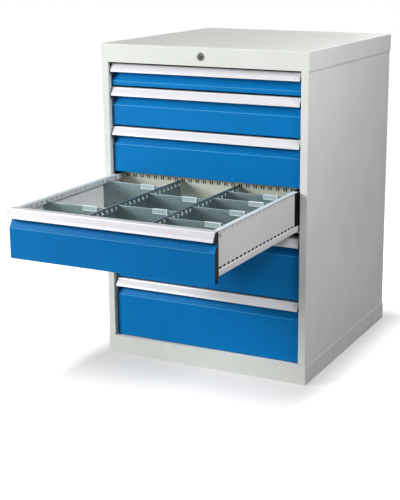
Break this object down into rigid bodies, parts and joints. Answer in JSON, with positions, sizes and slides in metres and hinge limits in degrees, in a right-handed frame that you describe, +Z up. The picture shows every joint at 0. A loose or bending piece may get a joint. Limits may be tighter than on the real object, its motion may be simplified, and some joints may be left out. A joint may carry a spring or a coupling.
{
  "type": "multi-drawer cabinet",
  "caption": "Floor-standing sheet-steel drawer cabinet with full-extension drawers, handle rails, divided drawer and a central lock.",
  "frame": {"origin": "centre of the casing's base on the floor", "axes": "+Z up, drawers open towards -Y, +X to the right seen from the front"},
  "size_m": [0.705, 1.2941, 1.019],
  "materials": {
    "casing_grey": "fine textured powder coat, light grey",
    "drawer_blue": "fine textured powder coat, blue",
    "handle_white": "extruded rail, coated near white, satin",
    "label_strip": "blank strip, semi-matt",
    "galvanised_sheet": "galvanised, faint grain",
    "drawer_side": "light grey coat on slotted sheet, satin",
    "divider_sheet": "galvanised, blue-grey",
    "label_holder": "translucent pale clip",
    "runner_steel": "zinc plated, satin",
    "inner_sheet": "light grey coat, matt",
    "screw_zinc": "zinc plated",
    "lock_nickel": "dark nickel, polished",
    "lock_steel": "zinc plated, satin",
    "guide_plastic": "black, matt"
  },
  "bodies": {
    "casing": {"top_cap": "casing_grey", "base_plinth": "casing_grey", "bottom_plate": "inner_sheet", "side_panel_left": "casing_grey", "side_panel_right": "casing_grey", "rear_panel": "casing_grey", "rear_panel_screws": "screw_zinc", "runner_uprights": "inner_sheet", "fixed_runners_left": "runner_steel", "fixed_runners_right": "runner_steel", "runner_screws": "screw_zinc", "lock_rosette": "lock_nickel", "lock_housing": "lock_steel", "lock_crank_bracket": "lock_steel", "lock_guides": "guide_plastic"},
    "drawer_1": {"drawer_1_front": "drawer_blue", "drawer_1_handle": "handle_white", "drawer_1_label_strip": "label_strip", "drawer_1_tray": "galvanised_sheet", "drawer_1_sides": "drawer_side"},
    "middle_runners_1": {"drawer_1_middle_runners": "runner_steel"},
    "drawer_2": {"drawer_2_front": "drawer_blue", "drawer_2_handle": "handle_white", "drawer_2_label_strip": "label_strip", "drawer_2_tray": "galvanised_sheet", "drawer_2_sides": "drawer_side"},
    "middle_runners_2": {"drawer_2_middle_runners": "runner_steel"},
    "drawer_3": {"drawer_3_front": "drawer_blue", "drawer_3_handle": "handle_white", "drawer_3_label_strip": "label_strip", "drawer_3_tray": "galvanised_sheet", "drawer_3_sides": "drawer_side"},
    "middle_runners_3": {"drawer_3_middle_runners": "runner_steel"},
    "drawer_4": {"drawer_4_front": "drawer_blue", "drawer_4_handle": "handle_white", "drawer_4_label_strip": "label_strip", "drawer_4_tray": "galvanised_sheet", "drawer_4_sides": "drawer_side", "drawer_4_partitions": "divider_sheet", "drawer_4_cross_dividers": "divider_sheet", "drawer_4_label_holders": "label_holder"},
    "middle_runners_4": {"drawer_4_middle_runners": "runner_steel"},
    "drawer_5": {"drawer_5_front": "drawer_blue", "drawer_5_handle": "handle_white", "drawer_5_label_strip": "label_strip", "drawer_5_tray": "galvanised_sheet", "drawer_5_sides": "drawer_side"},
    "middle_runners_5": {"drawer_5_middle_runners": "runner_steel"},
    "drawer_6": {"drawer_6_front": "drawer_blue", "drawer_6_handle": "handle_white", "drawer_6_label_strip": "label_strip", "drawer_6_tray": "galvanised_sheet", "drawer_6_sides": "drawer_side"},
    "middle_runners_6": {"drawer_6_middle_runners": "runner_steel"},
    "lock_cylinder": {"lock_cylinder": "lock_nickel", "lock_cam": "lock_steel"},
    "lock_link": {"lock_link": "lock_steel"},
    "lock_crank": {"lock_crank": "lock_steel"},
    "locking_bar": {"locking_bar": "lock_steel", "locking_hooks": "lock_steel"}
  },
  "joints": [
    {"name": "drawer_1_slide", "type": "slide", "parent": "casing", "child": "drawer_1", "axis": [0, -1, 0], "range_m": [0, 0.56]},
    {"name": "middle_runners_1_slide", "type": "slide", "parent": "casing", "child": "middle_runners_1", "axis": [0, -1, 0], "range_m": [0, 0.28]},
    {"name": "drawer_2_slide", "type": "slide", "parent": "casing", "child": "drawer_2", "axis": [0, -1, 0], "range_m": [0, 0.56]},
    {"name": "middle_runners_2_slide", "type": "slide", "parent": "casing", "child": "middle_runners_2", "axis": [0, -1, 0], "range_m": [0, 0.28]},
    {"name": "drawer_3_slide", "type": "slide", "parent": "casing", "child": "drawer_3", "axis": [0, -1, 0], "range_m": [0, 0.56]},
    {"name": "middle_runners_3_slide", "type": "slide", "parent": "casing", "child": "middle_runners_3", "axis": [0, -1, 0], "range_m": [0, 0.28]},
    {"name": "drawer_4_slide", "type": "slide", "parent": "casing", "child": "drawer_4", "axis": [0, -1, 0], "range_m": [-0.56, 0]},
    {"name": "middle_runners_4_slide", "type": "slide", "parent": "casing", "child": "middle_runners_4", "axis": [0, -1, 0], "range_m": [-0.28, 0]},
    {"name": "drawer_5_slide", "type": "slide", "parent": "casing", "child": "drawer_5", "axis": [0, -1, 0], "range_m": [0, 0.56]},
    {"name": "middle_runners_5_slide", "type": "slide", "parent": "casing", "child": "middle_runners_5", "axis": [0, -1, 0], "range_m": [0, 0.28]},
    {"name": "drawer_6_slide", "type": "slide", "parent": "casing", "child": "drawer_6", "axis": [0, -1, 0], "range_m": [0, 0.56]},
    {"name": "middle_runners_6_slide", "type": "slide", "parent": "casing", "child": "middle_runners_6", "axis": [0, -1, 0], "range_m": [0, 0.28]},
    {"name": "locking_bar_slide", "type": "slide", "parent": "casing", "child": "locking_bar", "axis": [0, 0, -1], "range_m": [0, 0.01319]},
    {"name": "lock_turn", "type": "hinge", "parent": "casing", "child": "lock_cylinder", "pos_m": [0, -0.368, 0.9905], "axis": [0, 1, 0], "range_deg": [0, 90]},
    {"name": "lock_link_slide", "type": "slide", "parent": "casing", "child": "lock_link", "axis": [1, 0, 0], "range_m": [0, 0.01415]},
    {"name": "lock_crank_turn", "type": "hinge", "parent": "casing", "child": "lock_crank", "pos_m": [0.3223, -0.33, 0.984], "axis": [0, 1, 0], "range_deg": [0, 56.3]}
  ],
  "couplings": [
    {"joint": "middle_runners_1_slide", "follows": "drawer_1_slide", "ratio": 0.5},
    {"joint": "middle_runners_2_slide", "follows": "drawer_2_slide", "ratio": 0.5},
    {"joint": "middle_runners_3_slide", "follows": "drawer_3_slide", "ratio": 0.5},
    {"joint": "middle_runners_4_slide", "follows": "drawer_4_slide", "ratio": 0.5},
    {"joint": "middle_runners_5_slide", "follows": "drawer_5_slide", "ratio": 0.5},
    {"joint": "middle_runners_6_slide", "follows": "drawer_6_slide", "ratio": 0.5},
    {"joint": "lock_turn", "follows": "locking_bar_slide", "rad_per_m": 119.01},
    {"joint": "lock_link_slide", "follows": "locking_bar_slide", "ratio": 1.0714},
    {"joint": "lock_crank_turn", "follows": "locking_bar_slide", "rad_per_m": 74.38}
  ]
}
